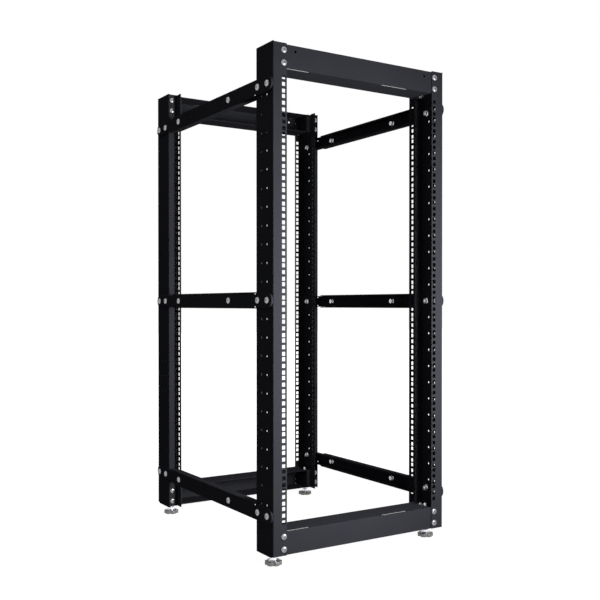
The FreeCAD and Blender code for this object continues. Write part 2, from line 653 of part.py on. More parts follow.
nodes = []
for end_name, end_sign in ENDS:
    for side_name, side_sign in SIDES:
        corner = f"{end_name}_{side_name}"
        nodes.append(make_post(f"{corner}_post", side_sign, end_sign))
        nodes.append(make_foot_plate(f"{corner}_foot_plate", side_sign, end_sign))
        nodes.append(make_stud(f"{corner}_levelling_stud", side_sign, end_sign))
        nodes.append(make_lock_nut(f"{corner}_lock_nut", side_sign, end_sign))
        nodes.append(make_pad(f"{corner}_levelling_foot", side_sign, end_sign))
    for level_name, is_upper in (("lower", False), ("upper", True)):
        nodes.append(make_crossbar(f"{end_name}_{level_name}_crossbar", end_sign, is_upper))
for side_name, side_sign in SIDES:
    for level_name, level_sign in LEVELS:
        for end_name, end_sign in ENDS:
            nodes.append(make_brace(f"{side_name}_{level_name}_brace_{end_name}",
                                    side_sign, end_sign, level_sign))
doc.recompute()

# ---------------------------------------------------------------- checks and files

for item in doc.Objects:
    if "Invalid" in item.State or "Error" in item.State:
        raise RuntimeError(f"{item.Label} failed: {item.State}")
for node in nodes:
    if node.Shape.isNull() or not node.Shape.isValid():
        raise RuntimeError(f"{node.Label} has no valid shape")
    if len(node.Shape.Solids) != 1:
        raise RuntimeError(f"{node.Label} has {len(node.Shape.Solids)} solids")

os.makedirs(PARTS_FOLDER, exist_ok=True)
for node in nodes:
    node.Shape.exportStep(os.path.join(PARTS_FOLDER, f"{node.Label}.step"))
print(len(nodes), "sub-parts written")
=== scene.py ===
"""Looks of a four post open frame rack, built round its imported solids.

Metres, +Z up, the front towards -Y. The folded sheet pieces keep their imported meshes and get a
powder coat. Screws, nuts and levelling feet are modelled here.
"""
from __future__ import annotations

import logging
import math
from collections.abc import Callable, Iterable
from dataclasses import dataclass, field
from enum import Enum

import bmesh
import bpy
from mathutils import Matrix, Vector

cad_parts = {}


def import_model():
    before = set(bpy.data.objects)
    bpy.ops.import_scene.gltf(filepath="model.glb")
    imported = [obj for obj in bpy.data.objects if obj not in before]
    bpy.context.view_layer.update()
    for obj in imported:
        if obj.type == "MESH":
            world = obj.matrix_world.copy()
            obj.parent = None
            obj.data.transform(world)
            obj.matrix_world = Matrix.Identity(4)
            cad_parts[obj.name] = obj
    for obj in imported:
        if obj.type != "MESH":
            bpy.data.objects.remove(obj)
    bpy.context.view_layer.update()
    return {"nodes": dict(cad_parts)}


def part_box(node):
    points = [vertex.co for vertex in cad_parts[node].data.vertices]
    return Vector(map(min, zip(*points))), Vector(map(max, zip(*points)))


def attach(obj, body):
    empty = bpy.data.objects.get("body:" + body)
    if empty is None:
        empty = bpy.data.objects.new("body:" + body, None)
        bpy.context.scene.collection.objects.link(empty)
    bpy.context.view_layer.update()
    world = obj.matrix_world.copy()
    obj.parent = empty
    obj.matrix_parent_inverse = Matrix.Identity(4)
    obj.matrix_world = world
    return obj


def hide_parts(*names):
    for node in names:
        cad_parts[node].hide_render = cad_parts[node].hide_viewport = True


MM = 0.001
ROOT = "root"
WHITE = (1.0, 1.0, 1.0, 1.0)
# Edges sharper than this stay sharp on a smooth mesh, in degrees.
SHARP_ANGLE = 32.0
# Corners of a turned mesh nearer than this are merged.
WELD_DISTANCE = 1e-7
# Sockets of the Mix node in its colour mode, by index because the modes share their names.
MIX_FACTOR, MIX_FIRST, MIX_SECOND, MIX_RESULT = 0, 6, 7, 2
log = logging.getLogger("rack")

Colour = tuple[float, float, float]
Section = list[tuple[float, float]]


class Slot(Enum):
    """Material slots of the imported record."""

    STEEL = "black_powder_coat"
    ZINC = "zinc_plate"
    FOOT = "grey_plastic"


class Side(Enum):
    """Left or right post, as the sign of X."""

    LEFT = -1
    RIGHT = 1


class End(Enum):
    """Front or rear of the rack, as the sign of Y."""

    FRONT = -1
    REAR = 1


def corner_name(end: End, side: Side) -> str:
    """The start of the node names at one post."""
    return f"{end.name.lower()}_{side.name.lower()}"


# ------------------------------------------------------------------ node graphs

class Graph:
    """A material's node tree, with short calls to add and link nodes."""

    def __init__(self, name: str) -> None:
        """Start an empty material.

        Args:
            name: The material's name.
        """
        self.material = bpy.data.materials.new(name)
        self.material.use_nodes = True
        self.tree = self.material.node_tree
        self.tree.nodes.clear()
        self.output = self.tree.nodes.new("ShaderNodeOutputMaterial")

    def node(self, kind: str, **values: object) -> bpy.types.Node:
        """Add a node.

        Args:
            kind: The node's type name.
            values: Socket values by name with spaces as underscores, or node properties.

        Returns:
            The new node.
        """
        node = self.tree.nodes.new(kind)
        for key, value in values.items():
            socket = node.inputs.get(key.replace("_", " "))
            if socket is None:
                setattr(node, key, value)
            else:
                socket.default_value = value
        return node

    def link(self, source: bpy.types.NodeSocket, target: bpy.types.NodeSocket) -> None:
        """Join an output to an input."""
        self.tree.links.new(source, target)

    def object_noise(self, scale: float, detail: float = 3.0) -> bpy.types.NodeSocket:
        """Noise on object coordinates.

        Args:
            scale: Cells per metre.
            detail: Octaves of the noise.

        Returns:
            The noise's value socket.
        """
        where = self.node("ShaderNodeTexCoord")
        noise = self.node("ShaderNodeTexNoise", Scale=scale, Detail=detail)
        self.link(where.outputs["Object"], noise.inputs["Vector"])
        return noise.outputs["Fac"]

    def spread(self, value: bpy.types.NodeSocket, low: float, high: float) -> bpy.types.NodeSocket:
        """Map a 0 to 1 value to a range.

        Args:
            value: The socket to read.
            low: Result at 0.
            high: Result at 1.

        Returns:
            The mapped socket.
        """
        mapping = self.node("ShaderNodeMapRange", To_Min=low, To_Max=high)
        self.link(value, mapping.inputs["Value"])
        return mapping.outputs["Result"]

    def blend(self, value: bpy.types.NodeSocket, first: Colour,
              second: Colour) -> bpy.types.NodeSocket:
        """Mix two colours by a value.

        Args:
            value: The mixing socket.
            first: Colour at 0.
            second: Colour at 1.

        Returns:
            The mixed colour's socket.
        """
        mix = self.node("ShaderNodeMix", data_type="RGBA")
        mix.inputs[MIX_FIRST].default_value = (*first, 1.0)
        mix.inputs[MIX_SECOND].default_value = (*second, 1.0)
        self.link(value, mix.inputs[MIX_FACTOR])
        return mix.outputs[MIX_RESULT]


@dataclass(frozen=True)
class PowderCoat:
    """Semi-matt black powder coat on sheet steel, with its fine orange peel."""

    colour: Colour = (0.040, 0.041, 0.050)
    worn_colour: Colour = (0.048, 0.049, 0.058)
    roughness: tuple[float, float] = (0.48, 0.58)
    specular: float = 0.0
    sheen_coat: float = 0.008
    cloud_per_metre: float = 14.0
    grain_per_metre: float = 1400.0
    grain_detail: float = 2.0
    grain_depth: float = 0.02 * MM
    grain_strength: float = 0.5
    edge_radius: float = 0.5 * MM
    edge_samples: int = 4

    def material(self) -> bpy.types.Material:
        """The finish as a material.

        Returns:
            The new material.
        """
        graph = Graph(Slot.STEEL.value)
        clouds = graph.object_noise(self.cloud_per_metre)
        grain = graph.object_noise(self.grain_per_metre, self.grain_detail)
        shader = graph.node("ShaderNodeBsdfPrincipled", Specular_IOR_Level=self.specular,
                            Coat_Weight=self.sheen_coat, Coat_Roughness=self.roughness[0])
        graph.link(graph.blend(clouds, self.colour, self.worn_colour), shader.inputs["Base Color"])
        graph.link(graph.spread(clouds, *self.roughness), shader.inputs["Roughness"])
        edge = graph.node("ShaderNodeBevel", Radius=self.edge_radius, samples=self.edge_samples)
        bump = graph.node("ShaderNodeBump", Strength=self.grain_strength,
                          Distance=self.grain_depth)
        graph.link(grain, bump.inputs["Height"])
        graph.link(edge.outputs["Normal"], bump.inputs["Normal"])
        graph.link(bump.outputs["Normal"], shader.inputs["Normal"])
        graph.link(shader.outputs["BSDF"], graph.output.inputs["Surface"])
        return graph.material


@dataclass(frozen=True)
class PlatedSteel:
    """Plated steel, slightly clouded."""

    name: str
    colour: Colour = (0.35, 0.35, 0.36)
    clouded: Colour = (0.27, 0.27, 0.28)
    roughness: tuple[float, float] = (0.28, 0.42)
    metallic: float = 1.0
    cloud_per_metre: float = 260.0
    cloud_detail: float = 4.0

    def material(self) -> bpy.types.Material:
        """The finish as a material.

        Returns:
            The new material.
        """
        graph = Graph(self.name)
        clouds = graph.object_noise(self.cloud_per_metre, self.cloud_detail)
        shader = graph.node("ShaderNodeBsdfPrincipled", Metallic=self.metallic)
        graph.link(graph.blend(clouds, self.colour, self.clouded), shader.inputs["Base Color"])
        graph.link(graph.spread(clouds, *self.roughness), shader.inputs["Roughness"])
        graph.link(shader.outputs["BSDF"], graph.output.inputs["Surface"])
        return graph.material


# Screws and nuts share one zinc plating, split into two colours: painted shade darkens the screws'
# copy, and painted light makes the nuts' copy much lighter, for the nuts in the shade inside the
# rack.
SCREW_ZINC = PlatedSteel("zinc_plate")
NUT_ZINC_PAINTED_LIGHT = PlatedSteel("bright_zinc", (0.86, 0.86, 0.87), (0.74, 0.74, 0.76), (0.32, 0.42))
HUB_ZINC = PlatedSteel("violet_zinc", (0.93, 0.93, 0.98), (0.82, 0.82, 0.92), (0.2, 0.35))
# The foot's grey base shines less than bare metal does.
FOOT_GREY = PlatedSteel("grey_base", (0.24, 0.24, 0.235), (0.20, 0.20, 0.195), (0.35, 0.5), 0.6)


# ------------------------------------------------------------------ turned shapes

def turned(name: str, section: Callable[[float], Section], segments: int,
           closed: bool) -> bpy.types.Mesh:
    """A mesh turned about Z from a section that may change with the angle.

    Args:
        name: The mesh's name.
        section: Radius and height pairs for an angle in radians, from the bottom outwards and up.
        segments: Steps round the axis.
        closed: True when the section is a ring clear of the axis, false when it ends on the axis.

    Returns:
        The new mesh, with its faces outwards.
    """
    shape = bmesh.new()
    rows = []
    for step in range(segments):
        angle = 2 * math.pi * step / segments
        cosine, sine = math.cos(angle), math.sin(angle)
        rows.append([shape.verts.new((r * cosine, r * sine, z)) for r, z in section(angle)])
    count = len(rows[0])
    for step in range(segments):
        here, after = rows[step], rows[(step + 1) % segments]
        for index in range(count if closed else count - 1):
            following = (index + 1) % count
            shape.faces.new((here[index], after[index], after[following], here[following]))
    bmesh.ops.remove_doubles(shape, verts=shape.verts, dist=WELD_DISTANCE)
    bmesh.ops.recalc_face_normals(shape, faces=shape.faces)
    mesh = bpy.data.meshes.new(name)
    shape.to_mesh(mesh)
    shape.free()
    return mesh


def joined(name: str, meshes: Iterable[bpy.types.Mesh]) -> bpy.types.Mesh:
    """One mesh out of several.

    Args:
        name: The new mesh's name.
        meshes: The meshes to join.

    Returns:
        The new mesh.
    """
    shape = bmesh.new()
    for mesh in meshes:
        shape.from_mesh(mesh)
    result = bpy.data.meshes.new(name)
    shape.to_mesh(result)
    shape.free()
    return result


def smooth(mesh: bpy.types.Mesh) -> None:
    """Shade a mesh smooth, apart from its sharp edges."""
    mesh.shade_smooth()
    mesh.set_sharp_from_angle(angle=math.radians(SHARP_ANGLE))


def new_object(name: str, mesh: bpy.types.Mesh,
               material: bpy.types.Material | None = None) -> bpy.types.Object:
    """Put a mesh into the scene as an object.

    Args:
        name: The object's name.
        mesh: Its mesh.
        material: Its only material, or None to leave the mesh's own.

    Returns:
        The new object.
    """
    if material is not None:
        mesh.materials.clear()
        mesh.materials.append(material)
    piece = bpy.data.objects.new(name, mesh)
    bpy.context.scene.collection.objects.link(piece)
    return piece


def hexagon_radius(angle: float, flats: float) -> float:
    """Distance from the axis to the side of a hexagon that has a corner at angle 0."""
    sixth = math.pi / 3
    return flats / 2 / math.cos(angle % sixth - sixth / 2)


# ------------------------------------------------------------------ fasteners

@dataclass(frozen=True)
class Seat:
    """Where a fastener sits: a point on the sheet and the way out of it."""

    place: Vector
    axis: Vector


@dataclass(frozen=True)
class PanHeadScrew:
    """A pan head screw with a cross recess that narrows towards its point."""

    diameter: float = 16 * MM
    height: float = 4.6 * MM
    # The head's outline, as shares of its diameter and height.
    dome: tuple[tuple[float, float], ...] = (
        (0.0, 0.0), (0.5, 0.0), (0.5, 0.16), (0.487, 0.32), (0.455, 0.52), (0.40, 0.70),
        (0.32, 0.85), (0.22, 0.945), (0.11, 0.99), (0.0, 1.0),
    )
    recess_length: float = 8.6 * MM
    recess_width: float = 1.9 * MM
    recess_depth: float = 2.6 * MM
    # The recess's punch starts this share of the head's height above the sheet, and ends this
    # share as wide as it started.
    punch_top: float = 1.2
    punch_point: float = 0.5
    segments: int = 40

    def mesh(self) -> bpy.types.Mesh:
        """Turn the head and cut its recess.

        Returns:
            The head, its flat underside at the origin and its dome towards +Z.
        """
        section = [(r * self.diameter, z * self.height) for r, z in self.dome]
        blank = turned("head_blank", lambda _: section, self.segments, False)
        head = new_object("head_blank", blank)
        wings = new_object("head_wings", self._recess())
        cut = head.modifiers.new("recess", "BOOLEAN")
        cut.operation = "DIFFERENCE"
        cut.solver = "EXACT"
        cut.object = wings
        graph = bpy.context.evaluated_depsgraph_get()
        result = bpy.data.meshes.new_from_object(head.evaluated_get(graph), depsgraph=graph)
        for helper in (head, wings):
            bpy.data.objects.remove(helper)
        smooth(result)
        return result

    def _recess(self) -> bpy.types.Mesh:
        """Make the cross-shaped punch.

        Returns:
            The punch, placed where it cuts.
        """
        half, width = self.recess_length / 2, self.recess_width / 2
        cross = [
            (half, -width), (half, width), (width, width),
            (width, half), (-width, half), (-width, width),
            (-half, width), (-half, -width), (-width, -width),
            (-width, -half), (width, -half), (width, -width),
        ]
        shape = bmesh.new()
        levels = ((self.height * self.punch_top, 1.0),
                  (self.height - self.recess_depth, self.punch_point))
        top, point = [
            [shape.verts.new((x * share, y * share, z)) for x, y in cross] for z, share in levels
        ]
        for index in range(len(cross)):
            following = (index + 1) % len(cross)
            shape.faces.new((top[index], top[following], point[following], point[index]))
        shape.faces.new(top)
        shape.faces.new(list(reversed(point)))
        bmesh.ops.recalc_face_normals(shape, faces=shape.faces)
        mesh = bpy.data.meshes.new("head_wings")
        shape.to_mesh(mesh)
        shape.free()
        return mesh


@dataclass(frozen=True)
class FlangeNut:
    """A flanged hexagon nut with the end of its screw."""

    flange: float = 16 * MM
    flange_height: float = 1.6 * MM
    # The share of the flange's height that stands upright at its rim.
    flange_rim: float = 0.5
    # The cone between flange and hexagon.
    cone_width: float = 0.6 * MM
    cone_height: float = 0.5 * MM
    flats: float = 12 * MM
    height: float = 6.5 * MM
    chamfer: float = 0.9 * MM
    # The top's radius, as a share of half the flats.
    top_share: float = 0.97
    screw: float = 5 * MM
    # How far the nut's bore lies inside the screw, so that no gap shows.
    thread_overlap: float = 0.3 * MM
    screw_start: float = 0.2 * MM
    screw_reach: float = 8.6 * MM
    screw_chamfer: float = 1.0 * MM
    segments: int = 36

    def mesh(self) -> bpy.types.Mesh:
        """The nut, its flange at the origin and the screw's end towards +Z."""
        return joined("flange_nut", (self._nut(), self._screw_end()))

    def _nut(self) -> bpy.types.Mesh:
        """Turn the flange and the hexagon round the screw.

        Returns:
            The nut without its screw.
        """
        bore = self.screw / 2 - self.thread_overlap

        def section(angle: float) -> Section:
            """Half the nut's outline at one angle.

            Args:
                angle: Angle about the axis, in radians.

            Returns:
                Radius and height pairs, from the bottom outwards and up.
            """
            hexagon = hexagon_radius(angle, self.flats)
            return [
                (bore, 0.0),
                (self.flange / 2, 0.0),
                (self.flange / 2, self.flange_height * self.flange_rim),
                (hexagon + self.cone_width, self.flange_height),
                (hexagon, self.flange_height + self.cone_height),
                (hexagon, self.height - self.chamfer * (hexagon * 2 / self.flats)),
                (min(hexagon, self.flats / 2 * self.top_share), self.height),
                (bore, self.height),
            ]

        mesh = turned("nut", section, self.segments, True)
        smooth(mesh)
        return mesh

    def _screw_end(self) -> bpy.types.Mesh:
        """Turn the chamfered end of the screw.

        Returns:
            The screw's end, from just above the sheet.
        """
        radius = self.screw / 2
        tip = self.screw_reach
        section = [
            (0.0, self.screw_start),
            (radius, self.screw_start),
            (radius, tip - self.screw_chamfer),
            (radius - self.screw_chamfer, tip),
            (0.0, tip),
        ]
        mesh = turned("screw_end", lambda _: section, self.segments, False)
        smooth(mesh)
        return mesh


@dataclass(frozen=True)
class FastenerRow:
    """Sets copies of one fastener on a list of seats with geometry nodes.

    Attributes:
        name: The finished piece's name.
        part: The fastener's mesh, its seat at the origin and its axis along +Z.
        finish: The fastener's material.
        seed: Seed of the turn that each copy gets about its axis.
        scale: Size of every copy against its mesh.
    """

    name: str
    part: bpy.types.Mesh
    finish: bpy.types.Material
    seed: int
    scale: float = 1.0

    def build(self, seats: list[Seat]) -> bpy.types.Object:
        """Make one plain mesh with a copy on every seat.

        Args:
            seats: The fasteners' places.

        Returns:
            The finished piece.
        """
        points = bpy.data.meshes.new(f"{self.name}_seats")
        points.from_pydata([seat.place for seat in seats], [], [])
        axes = points.attributes.new("axis", "FLOAT_VECTOR", "POINT")
        for index, seat in enumerate(seats):
            axes.data[index].vector = seat.axis
        source = new_object(f"{self.name}_part", self.part)
        holder = new_object(f"{self.name}_holder", points)
        tree, inputs = self._tree()
        modifier = holder.modifiers.new("copies", "NODES")
        modifier.node_group = tree
        modifier[inputs["Fastener"]] = source
        modifier[inputs["Scale"]] = self.scale
        modifier[inputs["Seed"]] = self.seed
        modifier[inputs["Finish"]] = self.finish
        holder.update_tag()
        graph = bpy.context.evaluated_depsgraph_get()
        mesh = bpy.data.meshes.new_from_object(holder.evaluated_get(graph), depsgraph=graph)
        for helper in (holder, source):
            bpy.data.objects.remove(helper)
        return new_object(self.name, mesh, self.finish)

    def _tree(self) -> tuple[bpy.types.NodeTree, dict[str, str]]:
        """Build the node tree.

        Returns:
            The tree, and its inputs' identifiers by name.
        """
        tree = bpy.data.node_groups.new(f"{self.name}_tree", "GeometryNodeTree")
        face = tree.interface
        face.new_socket(name="Seats", in_out="INPUT", socket_type="NodeSocketGeometry")
        face.new_socket(name="Copies", in_out="OUTPUT", socket_type="NodeSocketGeometry")
        kinds = {
            "Fastener": "NodeSocketObject",
            "Scale": "NodeSocketFloat",
            "Seed": "NodeSocketInt",
            "Finish": "NodeSocketMaterial",
        }
        inputs = {
            name: face.new_socket(name=name, in_out="INPUT", socket_type=kind).identifier
            for name, kind in kinds.items()
        }
        nodes, links = tree.nodes, tree.links
        source = nodes.new("NodeGroupInput")
        result = nodes.new("NodeGroupOutput")
        info = nodes.new("GeometryNodeObjectInfo")
        links.new(source.outputs["Fastener"], info.inputs["Object"])

        turn = nodes.new("FunctionNodeRandomValue")
        turn.data_type = "FLOAT"
        turn_inputs = {socket.name: socket for socket in turn.inputs if socket.enabled}
        turn_inputs["Min"].default_value = 0.0
        turn_inputs["Max"].default_value = 2 * math.pi
        links.new(source.outputs["Seed"], turn_inputs["Seed"])
        spin = nodes.new("FunctionNodeAxisAngleToRotation")
        spin.inputs["Axis"].default_value = (0.0, 0.0, 1.0)
        turned_by = next(socket for socket in turn.outputs if socket.enabled)
        links.new(turned_by, spin.inputs["Angle"])

        axis = nodes.new("GeometryNodeInputNamedAttribute")
        axis.data_type = "FLOAT_VECTOR"
        axis.inputs["Name"].default_value = "axis"
        align = nodes.new("FunctionNodeAlignRotationToVector")
        align.axis = "Z"
        links.new(spin.outputs["Rotation"], align.inputs["Rotation"])
        links.new(axis.outputs["Attribute"], align.inputs["Vector"])

        copies = nodes.new("GeometryNodeInstanceOnPoints")
        links.new(source.outputs["Seats"], copies.inputs["Points"])
        links.new(info.outputs["Geometry"], copies.inputs["Instance"])
        links.new(align.outputs["Rotation"], copies.inputs["Rotation"])
        links.new(source.outputs["Scale"], copies.inputs["Scale"])
        real = nodes.new("GeometryNodeRealizeInstances")
        links.new(copies.outputs["Instances"], real.inputs["Geometry"])
        dress = nodes.new("GeometryNodeSetMaterial")
        links.new(real.outputs["Geometry"], dress.inputs["Geometry"])
        links.new(source.outputs["Finish"], dress.inputs["Material"])
        links.new(dress.outputs["Geometry"], result.inputs["Copies"])
        return tree, inputs


@dataclass
class Fasteners:
    """Every screw and nut of the rack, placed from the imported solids.

    A column or inset is measured across the rack, and a step from the end of a post or brace.
    """

    levels: tuple[str, ...] = ("lower", "middle", "upper")
    hole_column: float = 232.55 * MM
    bar_steps: tuple[float, float] = (18.6 * MM, 48.6 * MM)
    tab_inset: float = 11.7 * MM
    brace_steps: tuple[float, float] = (19 * MM, 65 * MM)
    overlap_steps: tuple[float, float] = (218 * MM, 528 * MM)
    rail_sheet: float = 2 * MM
    bar_sheet: float = 2 * MM
    brace_sheet: float = 2.5 * MM
    screw_seed: int = 7
    nut_seed: int = 11
    heads: list[Seat] = field(default_factory=list)
    nuts: list[Seat] = field(default_factory=list)

    def place(self) -> None:
        """Work out every seat."""
        for side in Side:
            for end in End:
                self._bar_seats(side, end)
            for level in self.levels:
                self._brace_seats(side, level)

    def _pair(self, place: Vector, out: Vector, grip: float) -> None:
        """A head on the outside and its nut behind the sheets it clamps."""
        self.heads.append(Seat(place, out))
        self.nuts.append(Seat(place - out * grip, -out))

    def _bar_seats(self, side: Side, end: End) -> None:
        """Seat the screws through a post's rail flange and back flange into its crossbars.

        Args:
            side: The post's side.
            end: The post's end.
        """
        corner = corner_name(end, side)
        low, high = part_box(f"{corner}_post")
        plate_low, plate_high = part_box(f"{corner}_foot_plate")
        outer_x = low.x if side is Side.LEFT else high.x
        face = low.y if end is End.FRONT else high.y
        plate_end = plate_high.y if end is End.FRONT else plate_low.y
        out = Vector((0.0, end.value, 0.0))
        # Known fault: the foot plate ends a bar sheet before the back flange, so this is the
        # flange's inner face. These heads start a sheet too deep, and their nuts stand a sheet
        # clear of the tab.
        back = plate_end - end.value * self.rail_sheet
        for step in self.bar_steps:
            for z in (low.z + step, high.z - step):
                rail = Vector((side.value * self.hole_column, face, z))
                self._pair(rail, out, self.rail_sheet + self.bar_sheet)
                tab = Vector((outer_x - side.value * self.tab_inset, back, z))
                self._pair(tab, -out, self.rail_sheet + self.bar_sheet)

    def _brace_seats(self, side: Side, level: str) -> None:
        """Seat the screws of one telescoping brace, at both posts and through the overlap.

        Args:
            side: The brace's side.
            level: The brace's level, as in its node names.
        """
        name = f"{side.name.lower()}_{level}_brace"
        front_low, front_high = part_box(f"{name}_front")
        rear_low, rear_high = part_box(f"{name}_rear")
        z = (front_low.z + front_high.z) / 2
        out = Vector((side.value, 0.0, 0.0))
        over = max(abs(front_low.x), abs(front_high.x))
        under = max(abs(rear_low.x), abs(rear_high.x))
        front_face, rear_face = front_low.y, rear_high.y
        for step in self.brace_steps:
            front = Vector((side.value * over, front_face + step, z))
            self._pair(front, out, 2 * self.brace_sheet + self.rail_sheet)
            rear = Vector((side.value * under, rear_face - step, z))
            self._pair(rear, out, self.brace_sheet + self.rail_sheet)
        for step in self.overlap_steps:
            overlap = Vector((side.value * over, front_face + step, z))
            self._pair(overlap, out, 2 * self.brace_sheet)

    def build(self, screw_finish: bpy.types.Material,
              nut_finish: bpy.types.Material) -> list[bpy.types.Object]:
        """Make the screws and nuts.

        Args:
            screw_finish: The screws' material.
            nut_finish: The nuts' material.

        Returns:
            The two pieces.
        """
        self.place()
        heads = FastenerRow("pan_head_screws", PanHeadScrew().mesh(), screw_finish,
                            self.screw_seed)
        nuts = FastenerRow("flange_nuts", FlangeNut().mesh(), nut_finish, self.nut_seed)
        return [heads.build(self.heads), nuts.build(self.nuts)]


# ------------------------------------------------------------------ levelling feet

@dataclass
class LevellingFoot:
    """A levelling foot: fluted base, flared hexagonal hub, lock nut and threaded stud."""

    corner: str
    flute_count: int = 6
    flute_width: float = 12 * MM
    flute_bite: float = 3.5 * MM
    # The base: its rim's height, its rounded edges and the dish round the hub. Each rounding has
    # one corner between its ends, given inwards and upwards or downwards as shares of the edge.
    rim: float = 9.5 * MM
    edge: float = 1.0 * MM
    underside_inset: float = 2.0
    lower_corner: tuple[float, float] = (0.4, 0.3)
    upper_corner: tuple[float, float] = (0.3, 0.3)
    dish_depth: float = 0.5 * MM
    dish_slope: float = 1.0 * MM
    socket: float = 5 * MM
    base_segments: int = 180
    # The hub: its round foot sinks into the dish, then flares up into the hexagon.
    hub_base: float = 23 * MM
    hub_sink: float = 0.4 * MM
    hub_flare: float = 2.5 * MM
    # Heights of the flare's two corners, as shares of its height.
    flare_corners: tuple[float, float] = (0.4, 0.7)
    hub_shoulder: float = 0.6 * MM
    hub_flats: float = 15 * MM
    hub_height: float = 8.5 * MM
    hub_chamfer: float = 0.7 * MM
    nut_flats: float = 17 * MM
    # The nut's ends: their radius as a share of half the flats, and the slope up to the corners.
    nut_end: float = 0.98
    nut_slope: float = 0.6
    nut_chamfer: float = 0.2 * MM
    hexagon_segments: int = 72
    thread_pitch: float = 1.5 * MM
    thread_depth: float = 0.9 * MM
    points_per_pitch: int = 4
    stud_chamfer: float = 1.2 * MM
    stud_segments: int = 24

    def build(self, base: bpy.types.Material,
              plating: bpy.types.Material) -> list[bpy.types.Object]:
        """Make the foot's pieces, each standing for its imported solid.

        Args:
            base: Finish of the fluted base.
            plating: Finish of the hub, nut and stud.

        Returns:
            The finished pieces.
        """
        low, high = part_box(f"{self.corner}_levelling_foot")
        stud_low, stud_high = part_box(f"{self.corner}_levelling_stud")
        nut_low, nut_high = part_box(f"{self.corner}_lock_nut")
        centre = (stud_low + stud_high) / 2
        stud_radius = (stud_high.x - stud_low.x) / 2
        outer = (high.y - low.y) / 2
        nut_height, stud_height = nut_high.z - nut_low.z, stud_high.z - stud_low.z
        pieces = [
            (self._base(stud_radius, outer), 0.0, "base", base, "levelling_foot", Slot.FOOT),
            (self._hub(stud_radius), 0.0, "hub", plating, None, Slot.ZINC),
            (self._nut(nut_height, stud_radius), nut_low.z, "nut", plating, "lock_nut", Slot.ZINC),
            (self._stud(stud_height, stud_radius), stud_low.z, "stud", plating, "levelling_stud",
             Slot.ZINC),
        ]
        made = []
        for mesh, height, name, finish, node, slot in pieces:
            for vertex in mesh.vertices:
                vertex.co += Vector((centre.x, centre.y, height))
            smooth(mesh)
            piece = new_object(f"{self.corner}_foot_{name}", mesh, finish)
            if node is not None:
                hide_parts(f"{self.corner}_{node}")
            made.append(piece)
        return made

    def _rim_radius(self, angle: float, outer: float) -> float:
        """Find how far the fluted rim is from the axis.

        Args:
            angle: Angle about the axis, in radians.
            outer: The rim's radius between flutes.

        Returns:
            The distance.
        """
        part = 2 * math.pi / self.flute_count
        offset = (angle + part / 2) % part - part / 2
        flute = self.flute_width / 2
        centre = outer + flute - self.flute_bite
        across = centre * math.sin(offset)
        if abs(across) >= flute:
            return outer
        return min(outer, centre * math.cos(offset) - math.sqrt(flute ** 2 - across ** 2))

    def _base(self, stud_radius: float, outer: float) -> bpy.types.Mesh:
        """Turn the fluted base, with rounded edges and a shallow dish round the hub.

        Args:
            stud_radius: Radius of the stud's socket.
            outer: The rim's radius between flutes.

        Returns:
            The base, standing at the origin.
        """
        foot = self.hub_base / 2
        low_in, low_up = self.lower_corner
        top_in, top_down = self.upper_corner

        def section(angle: float) -> Section:
            """Half the base's outline at one angle.

            Args:
                angle: Angle about the axis, in radians.

            Returns:
                Radius and height pairs, from the bottom outwards and up.
            """
            rim = self._rim_radius(angle, outer)
            return [
                (0.0, 0.0),
                (rim - self.underside_inset * self.edge, 0.0),
                (rim - low_in * self.edge, low_up * self.edge),
                (rim, self.edge),
                (rim, self.rim - self.edge),
                (rim - top_in * self.edge, self.rim - top_down * self.edge),
                (rim - self.edge, self.rim),
                (foot + self.dish_slope, self.rim),
                (foot - self.dish_slope, self.rim - self.dish_depth),
                (stud_radius, self.rim - self.dish_depth),
                (stud_radius, self.socket),
                (0.0, self.socket),
            ]

        return turned(f"{self.corner}_base", section, self.base_segments, False)

    def _hub(self, stud_radius: float) -> bpy.types.Mesh:
        """Turn the hub, flared at the base and hexagonal up to its top.

        Args:
            stud_radius: Radius of the stud's hole.

        Returns:
            The hub, at its height over the base.
        """
        top = self.rim + self.hub_height
        foot = self.hub_base / 2
        flare_start, flare_bend = self.flare_corners

        def section(angle: float) -> Section:
            """Half the hub's outline at one angle.

            Args:
                angle: Angle about the axis, in radians.

            Returns:
                Radius and height pairs, from the bottom outwards and up.
            """
            hexagon = hexagon_radius(angle, self.hub_flats)
            end = min(hexagon, self.hub_flats / 2)
            return [
                (stud_radius, self.rim - self.hub_sink),
                (foot, self.rim - self.hub_sink),
                (foot, self.rim + flare_start * self.hub_flare),
                (foot - self.hub_shoulder, self.rim + flare_bend * self.hub_flare),
                (hexagon, self.rim + self.hub_flare),
                (hexagon, top - self.hub_chamfer),
                (end, top),
                (stud_radius, top),
            ]

        return turned(f"{self.corner}_hub", section, self.hexagon_segments, True)

    def _nut(self, height: float, stud_radius: float) -> bpy.types.Mesh:
        """Turn the lock nut, chamfered at both ends.

        Args:
            height: The nut's height.
            stud_radius: Radius of the stud's hole.

        Returns:
            The nut, its underside at the origin.
        """
        def section(angle: float) -> Section:
            """Half the nut's outline at one angle.

            Args:
                angle: Angle about the axis, in radians.

            Returns:
                Radius and height pairs, from the bottom outwards and up.
            """
            hexagon = hexagon_radius(angle, self.nut_flats)
            end = min(hexagon, self.nut_flats / 2 * self.nut_end)
            drop = (hexagon - end) * self.nut_slope + self.nut_chamfer
            return [
                (stud_radius, 0.0),
                (end, 0.0),
                (hexagon, drop),
                (hexagon, height - drop),
                (end, height),
                (stud_radius, height),
            ]

        return turned(f"{self.corner}_nut", section, self.hexagon_segments, True)

    def _stud(self, height: float, radius: float) -> bpy.types.Mesh:
        """Turn the stud, its thread a helix and its ends chamfered.

        Args:
            height: The stud's length.
            radius: Its radius over the thread.

        Returns:
            The stud, its lower end at the origin.
        """
        steps = int(height / self.thread_pitch * self.points_per_pitch)

